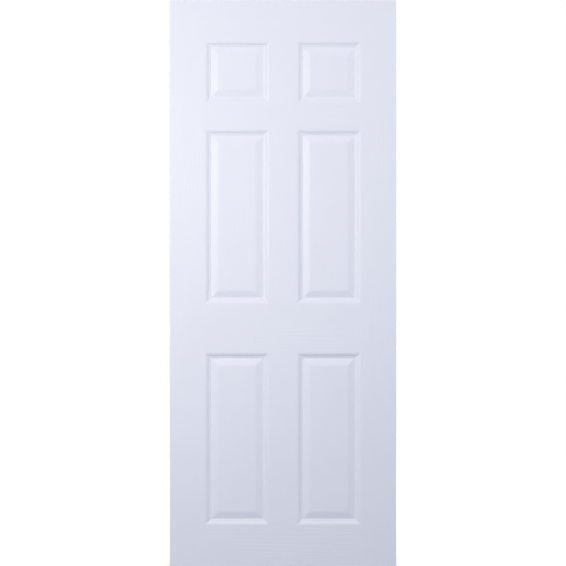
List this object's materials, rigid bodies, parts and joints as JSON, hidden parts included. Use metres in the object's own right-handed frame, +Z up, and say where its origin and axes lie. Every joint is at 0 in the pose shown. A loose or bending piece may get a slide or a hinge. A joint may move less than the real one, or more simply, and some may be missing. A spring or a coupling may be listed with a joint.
{
  "type": "panelled front door leaf",
  "caption": "Flat front door leaf with raised and fielded panels pressed into both faces, moulded composite skins over a timber frame and foam core.",
  "frame": {"origin": "middle of the leaf's bottom edge, halfway through its thickness", "axes": "+X from the hinge edge to the lock edge, +Y from the outside face to the inside face, +Z up"},
  "size_m": [0.813, 0.0446, 2.032],
  "materials": {
    "door_skin": "white satin, faint pressed wood grain",
    "edge_strip": "smooth white polymer",
    "laminated_timber": "sanded laminated veneer",
    "rail_timber": "planed softwood",
    "composite_rail": "extruded wood-filled polymer",
    "core_foam": "closed-cell polyurethane foam",
    "staple_steel": "galvanised wire"
  },
  "bodies": {
    "root": {"front_skin": "door_skin", "back_skin": "door_skin", "hinge_edge_strip": "edge_strip", "lock_edge_strip": "edge_strip", "hinge_stile": "laminated_timber", "lock_stile": "laminated_timber", "top_rail": "rail_timber", "bottom_rail": "composite_rail", "lock_block": "laminated_timber", "foam_core": "core_foam", "frame_staples": "staple_steel"}
  },
  "joints": []
}
